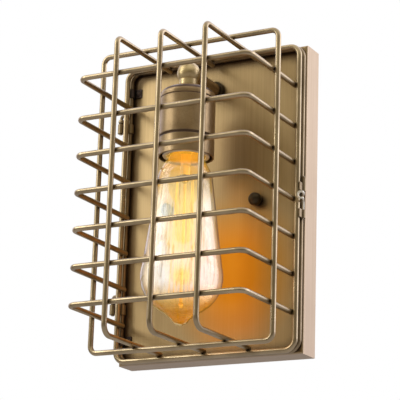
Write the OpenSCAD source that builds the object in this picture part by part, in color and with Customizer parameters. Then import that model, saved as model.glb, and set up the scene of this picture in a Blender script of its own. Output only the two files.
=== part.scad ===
// Cage wall light: a folded sheet-metal pan on the wall, a hanging socket with a filament bulb,
// and a welded wire cage that swings open on the left and is held by a wire latch on the right.
// Frame: X to the right, Y into the wall, Z up; the origin is on the wall, behind the pan's centre.

/* [Wall pan] */
// Width of the pan
pan_w = 178.5; // [172:0.5:220]
// Height of the pan
pan_h = 273; // [266:1:320]
// Depth of the pan, from the wall to its face
pan_d = 23.5; // [18:0.5:40]
// Thickness of the pan's sheet
pan_t = 1.2; // [0.8:0.1:2]
// Outside radius of the folded edges
fold_r = 1.8; // [1:0.1:3]

/* [Cage] */
// Diameter of the cage wire
wire_d = 4.7; // [3.5:0.1:5]
// Distance from the pan's side to the centre of the rings' wire
ring_side_inset = 2.95; // [2.6:0.05:6]
// Distance from the pan's top or bottom to the centre of the rings' wire
ring_end_inset = 2.5; // [2.4:0.1:6]
// Corner radius of the fixed ring and the rear ring on the wire's centre
ring_corner_r = 9; // [6:0.5:16]
// Corner radius of the middle ring on the wire's centre
mid_corner_r = 6.5; // [5:0.5:16]
// Depth of the whole light, from the wall to the front of the hoops
light_d = 127; // [120:1:150]
// Distance of the middle ring's centre from the wall
mid_ring_y = 75; // [60:1:90]
// Gap between the fixed ring and the rear ring of the cage
door_gap = 2.8; // [2.4:0.1:4]
// How far the cage hangs below the pan's centre
door_drop = 0.9; // [0:0.1:1.2]
// Distance of the outer hoops from the middle one
hoop_pitch = 42.8; // [38:0.2:50]
// Bend radius of the hoops at the top
hoop_top_bend_r = 6; // [4:0.5:12]
// Bend radius of the hoops at the bottom
hoop_low_bend_r = 9; // [4:0.5:12]
// Distance of the top cross bar below the pan's top
top_bar_drop = 38.8; // [32:0.1:44]
// Distance of the bottom cross bar above the pan's bottom
low_bar_rise = 33.9; // [28:0.1:40]
// Number of cross bars
bar_count = 7; // [7:1:7]
// Extra space under the top cross bar
top_bar_extra = 4.1; // [0:0.1:5]
// Bend radius of the cross bars' front corners
bar_bend_r = 7; // [4:0.5:12]
// How deep welded wires melt into each other
weld_sink = 0.3; // [0.1:0.05:0.6]

/* [Hinges] */
// Distance of the hinge axis outside the pan's side
hinge_out = 4.5; // [4:0.1:7]
// Distance of the upper barrel's middle below the pan's top
upper_hinge_drop = 55.5; // [50:0.5:64]
// Distance of the lower barrel's middle above the pan's bottom
lower_hinge_rise = 49.5; // [44:0.5:60]
// Length of a barrel
barrel_l = 8.6; // [6:0.1:12]
// Outside diameter of a barrel
barrel_d = 5.8; // [4.8:0.1:6.2]
// Diameter of the hinge pins
hinge_pin_d = 3; // [2:0.1:3.2]
// Diameter of the ball collar that carries the cage on the barrel
pin_ball_d = 5.4; // [4.4:0.1:5.6]

/* [Latch] */
// Distance of the hook's pivot outside the centre of the rings' right leg
latch_out = 3.6; // [3.6:0.1:4.4]
// Diameter of the hook's wire
hook_wire_d = 1.8; // [1.4:0.1:2]
// Height of the lower edge of the upper knuckle
latch_z = 1.9; // [-20:0.1:30]
// Height of the space for the hook's nose, between the knuckles
nose_space = 16.5; // [14:0.5:24]
// Height of a knuckle's block
knuckle_h = 7; // [5:0.5:9]
// Length of the sleeve on top of the upper knuckle
knuckle_sleeve_l = 5.8; // [3:0.1:8]

/* [Arm and socket] */
// Distance of the lamp's upright axis from the wall
lamp_y = 74; // [71:0.5:76]
// Distance of the arm's axis below the pan's top
arm_drop = 30.5; // [27:0.5:33]
// Outside diameter of the arm tube
arm_d = 12.6; // [11:0.1:14]
// Bore of the arm tube
arm_bore = 6.8; // [6:0.1:8]
// Diameter of the arm's collar on the pan
collar_d = 17; // [15:0.5:22]
// Thickness of the arm's collar
collar_t = 4; // [2:0.5:6]
// Diameter of the ball elbow
elbow_d = 20.4; // [19:0.1:24]
// Diameter of the socket cup
cup_d = 48; // [46:0.5:54]
// Height of the socket cup, from its mouth to the elbow's seat
cup_h = 64.2; // [62:0.1:68]
// Thickness of the cup's sheet
cup_t = 1.2; // [0.8:0.1:1.6]
// Radius of the cup's shoulder
cup_shoulder_r = 6; // [3:0.5:8]
// Radius of the cup's domed top
cup_dome_r = 41.5; // [36:0.5:60]
// Diameter of the elbow's neck on the cup
elbow_neck_d = 16; // [14:0.5:18]
// Outside diameter of the porcelain lampholder
holder_d = 40.6; // [38:0.2:41]
// Diameter of the lampholder's mouth
holder_mouth_d = 34; // [32:0.5:35]

/* [Bulb] */
// Largest diameter of the glass
bulb_d = 70; // [60:1:72]
// Length of the glass that shows below the socket cup
bulb_l = 146; // [138:1:148]
// Diameter of the glass neck in its screw cap
bulb_neck_d = 25.2; // [24:0.2:25.2]
// Diameter of the screw cap over its thread
bulb_cap_d = 26.2; // [26:0.1:26.4]
// Number of long strands of the filament
strand_count = 10; // [6:2:14]

/* [Mounting strap] */
// Distance between the two studs of the ball nuts
stud_spacing = 88.9; // [70:0.1:95]
// Diameter of the studs
stud_d = 4.16; // [3.5:0.01:5]
// Diameter of the ball nuts
ball_nut_d = 11.6; // [10:0.2:14]
// Smallest distance of the wall box screws
box_screws_min = 69.85; // [66:0.05:75]
// Largest distance of the wall box screws
box_screws_max = 88.9; // [85:0.05:95]
// Width of the slots for the wall box screws
slot_w = 4.6; // [4.2:0.1:5.2]
// Width of the strap's arms
strap_w = 24; // [18:1:30]
// Thickness of the strap
strap_t = 1.6; // [1.2:0.1:2.5]

/* [Hidden] */
$fn = 48;

brass = [0.62, 0.52, 0.36];
bright_brass = [0.80, 0.66, 0.36];
steel = [0.70, 0.70, 0.70];
porcelain = [0.93, 0.90, 0.84];
amber_glass = [0.95, 0.72, 0.35, 0.4];

// Clearances
seat_gap = 0.02;      // screwed and pressed seats
run_gap = 0.06;       // radial clearance of a pin that turns
hole_gap = 0.3;       // radial clearance of a hole round a screw or a neck
side_gap = 0.35;      // between the cage and the knuckles that it passes
rest_gap = 0.3;       // between a ball collar and its barrel

// Cage, worked out from the wall outwards
wire_r = wire_d / 2;
weld_step = wire_d - weld_sink;
fixed_ring_y = pan_d + wire_r;
rear_ring_y = fixed_ring_y + wire_d + door_gap;
hoop_front_y = light_d - wire_r;
bar_front_y = hoop_front_y - weld_step;
leg_end_y = rear_ring_y - wire_r + weld_sink;
ring_half_w = pan_w / 2 - ring_side_inset;
ring_half_h = pan_h / 2 - ring_end_inset;
top_bar_z = pan_h / 2 - top_bar_drop;
bar_pitch = (pan_h - top_bar_drop - low_bar_rise - top_bar_extra) / (bar_count - 1);
bar_half_w = ring_half_w - weld_step;
hoop_half_h = ring_half_h - weld_step;

// Hinges
hinge_x = -pan_w / 2 - hinge_out;
hinge_y = (fixed_ring_y + rear_ring_y) / 2;
upper_hinge_z = pan_h / 2 - upper_hinge_drop;
lower_hinge_z = lower_hinge_rise - pan_h / 2;
strap_wrap_t = 1.1;   // sheet of the hinge leaves, clips and knuckles

// Latch
latch_x = ring_half_w + latch_out;
latch_y = hinge_y - 1;
nose_space_low = latch_z - nose_space;
knuckle_top = latch_z + knuckle_h;
sleeve_top = knuckle_top + knuckle_sleeve_l;
knuckle_bottom = nose_space_low - knuckle_h;

// Lamp
arm_z = pan_h / 2 - arm_drop;
elbow_r = elbow_d / 2;
cup_r = cup_d / 2;
cup_top = arm_z - 12.3;
cup_low = cup_top - cup_h;
arm_r = arm_d / 2;
arm_end_y = lamp_y - 5.5;
nipple_r = 4.8;
nipple_bore_r = 3.3;
nipple_low = cup_top - 14.2;
nipple_top = cup_top + 4.8;
holder_r = holder_d / 2;
holder_low = cup_low + 0.6;
holder_floor = cup_top - 23.7;
shell_r = bulb_cap_d / 2 + 0.25;
shell_t = 0.5;
cap_top = holder_floor - 9.2;
cap_low = cap_top - 22.3;
contact_r = 4.6;
lead_d = 2.2;
lead_x = 1.3;
terminal_x = 8;
nut_across = 14;      // hex nuts of the arm and the nipple

// Bulb
bulb_low = cup_low - bulb_l;
bulb_r = bulb_d / 2;
glass_t = 0.9;
belly_r = 33;
belly_z = bulb_low + 41.5;
tip_r = 8.5;
belly_end_angle = -66;

function arc(cx, cy, r, a0, a1, n = 8) =
    [for (i = [0:n]) let (a = a0 + (a1 - a0) * i / n) [cx + r * cos(a), cy + r * sin(a)]];
function reversed(list) = [for (i = [len(list) - 1:-1:0]) list[i]];

// ---- Wire forms -----------------------------------------------------------------------------

// A straight wire along +X from the origin
module wire_run(length) {
    rotate([0, 90, 0]) cylinder(h = length, r = wire_r);
}

// A quarter bend in the XY plane about the origin, from +X to +Y
module wire_bend(bend_r) {
    rotate_extrude(angle = 90) translate([bend_r, 0]) circle(r = wire_r);
}

// A closed rectangle of wire in the XY plane, centred on the origin
module wire_ring(half_w, half_h, corner_r) {
    straight_w = half_w - corner_r;
    straight_h = half_h - corner_r;
    for (s = [-1, 1]) {
        translate([-straight_w, s * half_h, 0]) wire_run(2 * straight_w);
        translate([s * half_w, -straight_h, 0]) rotate([0, 0, 90]) wire_run(2 * straight_h);
    }
    for (i = [0:3])
        translate([(i == 0 || i == 3 ? 1 : -1) * straight_w, (i < 2 ? 1 : -1) * straight_h, 0])
            rotate([0, 0, 90 * i]) wire_bend(corner_r);
}

// A U of wire in the XY plane: its front run lies on Y = 0, its legs run to +Y at both X values
module wire_u(low_x, high_x, leg, low_r, high_r) {
    translate([low_x + low_r, 0, 0]) wire_run(high_x - low_x - low_r - high_r);
    translate([low_x, low_r, 0]) rotate([0, 0, 90]) wire_run(leg - low_r);
    translate([high_x, high_r, 0]) rotate([0, 0, 90]) wire_run(leg - high_r);
    translate([low_x + low_r, low_r, 0]) rotate([0, 0, 180]) wire_bend(low_r);
    translate([high_x - high_r, high_r, 0]) rotate([0, 0, 270]) wire_bend(high_r);
}

// An upright ring parallel to the wall, at a distance from it
module upright_ring(distance, z, corner_r = ring_corner_r) {
    translate([0, -distance, z]) rotate([90, 0, 0]) wire_ring(ring_half_w, ring_half_h, corner_r);
}

module fixed_ring() { color(brass) upright_ring(fixed_ring_y, 0); }
module cage_rear_ring() { color(brass) upright_ring(rear_ring_y, -door_drop); }
module cage_mid_ring() { color(brass) upright_ring(mid_ring_y, -door_drop, mid_corner_r); }

// Upright hoop: front run in front of the cross bars, legs inside the rings
module cage_hoop(x) {
    color(brass) translate([x, -hoop_front_y, -door_drop]) rotate([0, -90, 0]) mirror([0, 0, 1])
        wire_u(-hoop_half_h, hoop_half_h, hoop_front_y - leg_end_y, hoop_low_bend_r, hoop_top_bend_r);
}
module cage_hoop_left() { cage_hoop(-hoop_pitch); }
module cage_hoop_centre() { cage_hoop(0); }
module cage_hoop_right() { cage_hoop(hoop_pitch); }

// Cross bar number i, counted from the top
function bar_z(i) = top_bar_z - (i - 1) * bar_pitch - (i > 1 ? top_bar_extra : 0);
module cage_bar(i) {
    color(brass) translate([0, -bar_front_y, bar_z(i)])
        wire_u(-bar_half_w, bar_half_w, bar_front_y - leg_end_y, bar_bend_r, bar_bend_r);
}

// ---- Wall pan -------------------------------------------------------------------------------

// Section of a box that is open towards +Y: rounded front edges, width along X
module pan_section(width, depth, r) {
    polygon(concat(
        [[width / 2, 0]],
        arc(width / 2 - r, -depth + r, r, 0, -90, 5),
        arc(-width / 2 + r, -depth + r, r, 270, 180, 5),
        [[-width / 2, 0]]));
}

// Block with its front edges rounded both ways, from the wall plane outwards
module pan_block(width, height, depth, r) {
    intersection() {
        translate([0, 0, -height / 2]) linear_extrude(height) pan_section(width, depth, r);
        translate([-width / 2, 0, 0]) rotate([0, 90, 0]) linear_extrude(width)
            pan_section(height, depth, r);
    }
}

module back_pan() {
    inner_r = max(fold_r - pan_t, 0.2);
    color(brass) difference() {
        pan_block(pan_w, pan_h, pan_d, fold_r);
        translate([0, 1, 0]) pan_block(pan_w - 2 * pan_t, pan_h - 2 * pan_t, pan_d - pan_t + 1, inner_r);
        for (s = [-1, 1])
            translate([s * stud_spacing / 2, 0, 0]) rotate([90, 0, 0])
                cylinder(h = pan_d + 1, r = stud_d / 2 + hole_gap);
        translate([0, 0, arm_z]) rotate([90, 0, 0]) cylinder(h = pan_d + 1, r = nipple_r + hole_gap);
        for (s = [-1, 1]) clip_rivet_place(s) cylinder(h = 3 * pan_t, r = rivet_r + seat_gap, center = true);
    }
}

// Plus-shaped strap: upright slots for the wall box screws, tapped holes for the studs
module strap_arm(length) {
    translate([0, 0, strap_t / 2]) cube([length - strap_w, strap_w, strap_t], center = true);
    for (s = [-1, 1]) translate([s * (length - strap_w) / 2, 0, 0]) cylinder(h = strap_t, d = strap_w);
}
slot_mid = (box_screws_min + box_screws_max) / 4;
slot_l = (box_screws_max - box_screws_min) / 2 + slot_w;
ground_x = stud_spacing / 4;
ground_r = 2.08;
module mounting_strap() {
    color(steel) rotate([90, 0, 0]) difference() {
        union() {
            strap_arm(stud_spacing + strap_w);
            rotate([0, 0, 90]) strap_arm(2 * slot_mid + slot_l + strap_w / 2);
        }
        for (s = [-1, 1]) {
            translate([s * stud_spacing / 2, 0, -1]) cylinder(h = strap_t + 2, r = stud_d / 2 + seat_gap);
            translate([0, s * slot_mid, -1]) {
                for (e = [-1, 1]) translate([0, e * (slot_l - slot_w) / 2, 0])
                    cylinder(h = strap_t + 2, d = slot_w);
                translate([-slot_w / 2, -(slot_l - slot_w) / 2, 0])
                    cube([slot_w, slot_l - slot_w, strap_t + 2]);
            }
        }
        translate([ground_x, 0, -1]) cylinder(h = strap_t + 2, r = ground_r + seat_gap);
    }
}

module at_studs() {
    for (s = [-1, 1]) translate([s * stud_spacing / 2, 0, 0]) rotate([90, 0, 0]) children();
}
stud_l = pan_d + 8;
lock_nut_h = 3.2;
module hex_nut(across, height, bore_r) {
    difference() {
        cylinder(h = height, d = across / cos(30), $fn = 6);
        translate([0, 0, -1]) cylinder(h = height + 2, r = bore_r);
    }
}
module strap_studs() { color(steel) at_studs() cylinder(h = stud_l, d = stud_d); }
module stud_lock_nuts() {
    color(steel) at_studs() translate([0, 0, strap_t]) hex_nut(8.7, lock_nut_h, stud_d / 2 + seat_gap);
}

// Ball nut: a turned foot on the pan's face and a ball, with a blind hole
ball_nut_foot_h = 2.4;
module ball_nuts() {
    ball_r = ball_nut_d / 2;
    foot_r = ball_r * 0.82;
    lift = ball_nut_foot_h + sqrt(ball_r * ball_r - foot_r * foot_r * 0.8);
    color(brass) at_studs() translate([0, 0, pan_d]) difference() {
        rotate_extrude() polygon(concat([[0, 0], [foot_r, 0], [foot_r, ball_nut_foot_h]],
            arc(0, lift, ball_r, -asin((lift - ball_nut_foot_h) / ball_r), 90, 14)));
        translate([0, 0, -1]) cylinder(h = stud_l - pan_d + 1.6, r = stud_d / 2 + seat_gap);
    }
}

module ground_screw() {
    color([0.25, 0.45, 0.25]) translate([ground_x, 0, 0]) rotate([90, 0, 0]) difference() {
        union() {
            cylinder(h = strap_t + 0.2, r = ground_r);
            translate([0, 0, strap_t]) cylinder(h = 1, r = 4.4);
            translate([0, 0, strap_t + 1]) cylinder(h = 2.4, d = 7, $fn = 6);
        }
        translate([-3, -0.5, strap_t + 2.4]) cube([6, 1, 2]);
    }
}

// Saddle clips that hold the fixed ring on the hinge side
clip_z = pan_h / 2 - 21.5;
clip_w = 8;
rivet_r = 1.3;
clip_foot = 7.2;
module clip_rivet_place(s) {
    translate([-ring_half_w + wire_r + clip_foot - 3, -pan_d, s * clip_z]) rotate([90, 0, 0]) children();
}
module ring_clips() {
    outer_r = wire_r + strap_wrap_t;
    color(brass) for (s = [-1, 1]) difference() {
        translate([-ring_half_w, -fixed_ring_y, s * clip_z]) union() {
            cylinder(h = clip_w, r = outer_r, center = true);
            translate([0, wire_r - strap_wrap_t, -clip_w / 2])
                cube([wire_r + clip_foot, strap_wrap_t, clip_w]);
        }
        translate([-ring_half_w, -fixed_ring_y, s * clip_z])
            cylinder(h = clip_w + 2, r = wire_r + seat_gap, center = true);
        translate([-ring_half_w, -pan_d + outer_r, s * clip_z]) cube([4 * clip_foot, 2 * outer_r, clip_w + 2],
            center = true);
        translate([-ring_half_w - outer_r, -fixed_ring_y + outer_r - strap_wrap_t, s * clip_z])
            cube([2 * outer_r, outer_r, clip_w + 2], center = true);
        clip_rivet_place(s) cylinder(h = 4 * strap_wrap_t, r = rivet_r + seat_gap, center = true);
    }
}
module clip_rivets() {
    color(brass) for (s = [-1, 1]) clip_rivet_place(s) union() {
        translate([0, 0, -pan_t - 0.6]) cylinder(h = pan_t + strap_wrap_t + 1, r = rivet_r);
        translate([0, 0, strap_wrap_t + seat_gap]) rotate_extrude()
            polygon(concat([[0, 0], [2.6, 0]], arc(0, -1.05, 2.8, 22, 90, 6)));
        translate([0, 0, -pan_t - 1]) cylinder(h = 1 - seat_gap, r = 2.4);
    }
}

// ---- Hinges ---------------------------------------------------------------------------------

// Barrel on a leaf that wraps the fixed ring's left leg
module hinge_barrel(z) {
    color(brass) translate([0, 0, z - barrel_l / 2]) difference() {
        union() {
            translate([hinge_x, -hinge_y, 0]) cylinder(h = barrel_l, d = barrel_d);
            translate([hinge_x, -fixed_ring_y - wire_r - strap_wrap_t * 0.85, 0])
                cube([-ring_half_w - hinge_x, strap_wrap_t * 0.8, barrel_l]);
            intersection() {
                translate([-ring_half_w, -fixed_ring_y, 0]) cylinder(h = barrel_l, r = wire_r + strap_wrap_t);
                translate([-ring_half_w - wire_d, -fixed_ring_y - wire_d, -1])
                    cube([2 * wire_d, wire_d + 0.5, barrel_l + 2]);
            }
        }
        translate([hinge_x, -hinge_y, -1]) cylinder(h = barrel_l + 2, r = hinge_pin_d / 2 + run_gap);
        translate([-ring_half_w, -fixed_ring_y, -1]) cylinder(h = barrel_l + 2, r = wire_r + seat_gap);
    }
}

// Pin: a wire off the rear ring that turns down into its barrel, with a ball collar on the barrel
pin_rise = 7.4;
module hinge_pin(z) {
    pin_r = hinge_pin_d / 2;
    barrel_top = z + barrel_l / 2;
    ball_z = barrel_top + rest_gap + pin_ball_d / 2 - 0.4;
    reach_x = -ring_half_w - hinge_x;
    reach_y = rear_ring_y - hinge_y;
    reach = norm([reach_x, reach_y]);
    bend = 2.6;
    color(brass) {
        translate([hinge_x, -hinge_y, z - barrel_l / 2 - 1])
            cylinder(h = barrel_l + 1 + pin_rise - bend, r = pin_r);
        translate([hinge_x, -hinge_y, ball_z]) intersection() {
            sphere(d = pin_ball_d);
            translate([0, 0, 0.2]) cube([10, 10, pin_ball_d - 0.8], center = true);
        }
        translate([hinge_x, -hinge_y, barrel_top + pin_rise]) rotate([0, 0, -atan2(reach_y, reach_x)]) {
            translate([bend, 0, -bend]) rotate([90, 0, 0]) rotate([0, 0, 90])
                rotate_extrude(angle = 90) translate([bend, 0]) circle(r = pin_r);
            translate([bend, 0, 0]) rotate([0, 90, 0])
                cylinder(h = reach - bend - wire_r + weld_sink, r = pin_r);
        }
    }
}
module hinge_barrel_upper() { hinge_barrel(upper_hinge_z); }
module hinge_barrel_lower() { hinge_barrel(lower_hinge_z); }
module hinge_pin_upper() { hinge_pin(upper_hinge_z); }
module hinge_pin_lower() { hinge_pin(lower_hinge_z); }

// ---- Latch ----------------------------------------------------------------------------------

// Knuckle: sheet wrapped over the fixed ring's right leg, a bored barrel for the hook's wire,
// and a guard that stands outside the cage's rear ring
knuckle_barrel_r = hook_wire_d / 2 + run_gap + 1.1;
guard_t = 1.1;
module knuckle(low, high, guard_low, guard_high) {
    height = high - low;
    guard_x = ring_half_w + wire_r + side_gap;
    color(brass) difference() {
        union() {
            translate([latch_x, -latch_y, low]) cylinder(h = height, r = knuckle_barrel_r);
            intersection() {
                translate([ring_half_w, -fixed_ring_y, low]) cylinder(h = height, r = wire_r + strap_wrap_t);
                translate([ring_half_w - wire_d, -fixed_ring_y - wire_d, low - 1])
                    cube([2 * wire_d, wire_d + 0.5, height + 2]);
            }
            translate([guard_x, -rear_ring_y - wire_r, guard_low])
                cube([guard_t, rear_ring_y + wire_r - latch_y, guard_high - guard_low]);
        }
        translate([latch_x, -latch_y, low - 1]) cylinder(h = height + 2, r = hook_wire_d / 2 + run_gap);
        translate([ring_half_w, -fixed_ring_y, low - 1]) cylinder(h = height + 2, r = wire_r + seat_gap);
    }
}
module latch_knuckle_upper() { knuckle(latch_z, sleeve_top, latch_z, knuckle_top); }
module latch_knuckle_lower() { knuckle(knuckle_bottom, nose_space_low, knuckle_bottom, nose_space_low); }

// Hook: upright pivot wires in both knuckles, joined by a nose that reaches round the rear ring
nose_leg_h = 5.4;     // height of the loop, centre to centre
nose_play = 2.5;      // between the rear ring and the nose when the hook is closed
nose_top = latch_z - hook_wire_d / 2 - 2.2;
nose_low = nose_top - nose_leg_h;
nose_front = rear_ring_y + wire_r + hook_wire_d / 2 + nose_play - latch_y;
nose_in = latch_out + 0.85;
nose_bend_r = 1.4;
nose_tip_r = 2.4;
// The hook rests turned aside, so that its nose just clears the rear ring's way out
nose_clear = latch_out - wire_r - hook_wire_d / 2 - side_gap;
hook_rest_turn = atan2(nose_in, nose_front) - asin(nose_clear / norm([nose_in, nose_front]));

module hook_run(length) { cylinder(h = length, d = hook_wire_d, $fn = 24); }

// A quarter bend of the hook's wire about the origin, in the XY plane from +X to +Y
module hook_bend(bend_r) {
    rotate_extrude(angle = 90) translate([bend_r, 0]) circle(d = hook_wire_d, $fn = 24);
}

// Upper half of the hook, from the height of the nose's middle to the top of the pivot wire
module hook_half(rise, top) {
    translate([0, 0, rise + nose_bend_r]) hook_run(top - rise - nose_bend_r);
    translate([0, -nose_bend_r, rise + nose_bend_r]) rotate([0, 90, 0]) hook_bend(nose_bend_r);
    translate([0, -nose_bend_r, rise]) rotate([90, 0, 0]) hook_run(nose_front - 2 * nose_bend_r);
    translate([-nose_bend_r, -nose_front + nose_bend_r, rise]) rotate([0, 0, -90]) hook_bend(nose_bend_r);
    translate([-nose_bend_r, -nose_front, rise]) rotate([0, -90, 0])
        hook_run(nose_in - nose_bend_r - nose_tip_r);
    translate([-nose_in + nose_tip_r, -nose_front, rise - nose_tip_r]) rotate([90, 0, 0])
        rotate([0, 0, 90]) hook_bend(nose_tip_r);
    translate([-nose_in, -nose_front, 0]) hook_run(rise - nose_tip_r);
}
module latch_hook() {
    mid = (nose_top + nose_low) / 2;
    rise = (nose_top - nose_low) / 2;
    color(bright_brass) translate([latch_x, -latch_y, mid]) rotate([0, 0, hook_rest_turn]) {
        hook_half(rise, sleeve_top + 0.6 - mid);
        mirror([0, 0, 1]) hook_half(rise, mid - knuckle_bottom + 0.6);
    }
}

// ---- Arm and elbow --------------------------------------------------------------------------

// Turns an upright lathe form so that its height runs out from the wall at the arm's axis
module along_arm() { translate([0, 0, arm_z]) rotate([90, 0, 0]) children(); }

arm_thread_l = 9;
module arm_tube() {
    color(brass) along_arm() difference() {
        union() {
            translate([0, 0, pan_d]) cylinder(h = arm_end_y - pan_d, r = arm_r);
            translate([0, 0, pan_d - arm_thread_l]) cylinder(h = arm_thread_l + 1, r = nipple_r);
        }
        translate([0, 0, pan_d - arm_thread_l - 1])
            cylinder(h = arm_end_y - pan_d + arm_thread_l + 2, d = arm_bore);
    }
}
module arm_collar() {
    r = collar_d / 2;
    edge = min(1, collar_t / 2);
    color(brass) along_arm() translate([0, 0, pan_d]) rotate_extrude() polygon(concat(
        [[arm_r + seat_gap, 0], [r, 0]], arc(r - edge, collar_t - edge, edge, 0, 90, 4),
        [[arm_r + seat_gap, collar_t]]));
}
washer_t = 1;
arm_nut_h = 4;
module arm_washer() {
    color(steel) along_arm() translate([0, 0, pan_d - pan_t - washer_t]) difference() {
        cylinder(h = washer_t, r = 9);
        translate([0, 0, -1]) cylinder(h = washer_t + 2, r = nipple_r + hole_gap);
    }
}
module arm_nut() {
    color(steel) along_arm() translate([0, 0, pan_d - pan_t - washer_t - arm_nut_h])
        hex_nut(nut_across, arm_nut_h, nipple_r + seat_gap);
}

// Elbow: a ball on a neck, bored upright for the nipple and level for the arm
elbow_cavity_r = 4.2;
module ball_elbow() {
    color(brass) difference() {
        translate([0, -lamp_y, 0]) union() {
            translate([0, 0, cup_top]) cylinder(h = arm_z - cup_top, d = elbow_neck_d);
            translate([0, 0, arm_z]) sphere(r = elbow_r);
        }
        translate([0, -lamp_y, cup_top - 1]) cylinder(h = nipple_top - cup_top + 1, r = nipple_r + seat_gap);
        translate([0, -lamp_y, nipple_top - 1]) cylinder(h = arm_z - nipple_top + 5, r = elbow_cavity_r);
        along_arm() translate([0, 0, arm_end_y - 12]) cylinder(h = 12 + seat_gap, r = arm_r + seat_gap);
        along_arm() translate([0, 0, arm_end_y - 1])
            cylinder(h = lamp_y - arm_end_y + 3, r = elbow_cavity_r - 0.3);
    }
}
module elbow_nipple() {
    color(steel) translate([0, -lamp_y, nipple_low]) difference() {
        cylinder(h = nipple_top - nipple_low, r = nipple_r);
        translate([0, 0, -1]) cylinder(h = nipple_top - nipple_low + 2, r = nipple_bore_r);
    }
}
nipple_nut_h = 3;
module nipple_nut() {
    color(steel) translate([0, -lamp_y, cup_top - cup_t - nipple_nut_h])
        hex_nut(nut_across, nipple_nut_h, nipple_r + seat_gap);
}

// ---- Socket ---------------------------------------------------------------------------------

// A rolled groove in a wall of radius r, read downwards
function groove(r, z, width, depth, n = 8) =
    [for (i = [0:n]) [r - depth * (1 - cos(360 * i / n)) / 2, z + width / 2 - width * i / n]];
upper_groove_z = cup_top - 12.2;
lower_groove_z = cup_top - 47.2;
cup_seat_r = 9.5;     // flat seat of the elbow's neck
module socket_cup() {
    hole_r = nipple_r + hole_gap;
    in_r = cup_r - cup_t;
    in_top = cup_top - cup_t;
    dome_z = cup_top - sqrt(pow(cup_dome_r, 2) - pow(cup_seat_r, 2));
    reach = cup_dome_r - cup_shoulder_r;
    corner_x = cup_r - cup_shoulder_r;
    corner_z = dome_z + sqrt(pow(reach, 2) - pow(corner_x, 2));
    meet = 90 - asin(corner_x / reach);
    in_dome_r = cup_dome_r - cup_t;
    in_start = asin((in_top - dome_z) / in_dome_r);
    color(brass) translate([0, -lamp_y, 0]) rotate_extrude() polygon(concat(
        [[hole_r, cup_top]],
        arc(0, dome_z, cup_dome_r, acos(cup_seat_r / cup_dome_r), meet, 6),
        arc(corner_x, corner_z, cup_shoulder_r, meet, 0, 6),
        groove(cup_r, upper_groove_z, 1.6, 0.5), groove(cup_r, lower_groove_z, 3.2, 1),
        [[cup_r, cup_low + 0.4], [cup_r - 0.4, cup_low], [in_r, cup_low]],
        reversed(groove(in_r, lower_groove_z, 3.2, 1)), reversed(groove(in_r, upper_groove_z, 1.6, 0.5)),
        arc(corner_x, corner_z, cup_shoulder_r - cup_t, 0, meet, 5),
        arc(0, dome_z, in_dome_r, meet, in_start, 5),
        [[hole_r, in_top]]));
}

// Porcelain holder: mouth for the bulb, seat for the screw shell, neck for the nipple
shell_seat_low = cap_low + 5;
chamber_top = holder_floor + 5.5;
module lampholder_body() {
    seat_r = shell_r + shell_t + seat_gap;
    mouth_r = holder_mouth_d / 2;
    neck_r = 8;
    neck_top = cup_top - cup_t - nipple_nut_h - 0.1;
    color(porcelain) translate([0, -lamp_y, 0]) difference() {
        rotate_extrude() polygon(concat(
            [[mouth_r, holder_low], [holder_r - 1, holder_low]],
            arc(holder_r - 1, holder_low + 1, 1, -90, 0, 4),
            arc(holder_r - 3, chamber_top, 3, 0, 90, 5),
            [[neck_r, chamber_top + 3], [neck_r, neck_top], [nipple_r + seat_gap, neck_top],
             [nipple_r + seat_gap, nipple_low], [nipple_bore_r, nipple_low - 0.5],
             [nipple_bore_r, chamber_top],
             [12, chamber_top], [12, holder_floor], [4, holder_floor], [4, holder_floor - 2.2],
             [seat_r, holder_floor - 2.2], [seat_r, shell_seat_low], [mouth_r, shell_seat_low - 6]]));
        for (s = [-1, 1]) translate([s * terminal_x, 0, holder_floor - 2.5])
            cylinder(h = 3, r = 1.3 + seat_gap);
    }
}
module screw_shell() {
    low = cap_low + 3;
    high = holder_floor - 2.2 - seat_gap;
    color(bright_brass) translate([0, -lamp_y, 0]) rotate_extrude()
        polygon([[shell_r, low], [shell_r + shell_t, low], [shell_r + shell_t, high], [10.6, high],
                 [10.6, high - shell_t], [shell_r, high - shell_t]]);
}
contact_low = cap_top + 3.6 + 1.8;
module centre_contact() {
    color(bright_brass) translate([0, -lamp_y, 0]) rotate_extrude()
        polygon([[0, contact_low + 0.05], [3, contact_low + 0.05], [3.6, contact_low + 0.5],
                 [3.6, holder_floor - 2.2 - seat_gap], [2.4, holder_floor - 2.2 - seat_gap],
                 [2.4, holder_floor + 0.8], [0, holder_floor + 0.8]]);
}
module terminal_screws() {
    color(bright_brass) for (s = [-1, 1]) translate([s * terminal_x, -lamp_y, 0]) difference() {
        union() {
            translate([0, 0, holder_floor - 1.9]) cylinder(h = 2.4, r = 1.3);
            translate([0, 0, holder_floor + seat_gap]) cylinder(h = 1.8, r = 2.8);
        }
        translate([-3, -0.4, holder_floor + 1.2]) cube([6, 0.8, 1]);
    }
}

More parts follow.
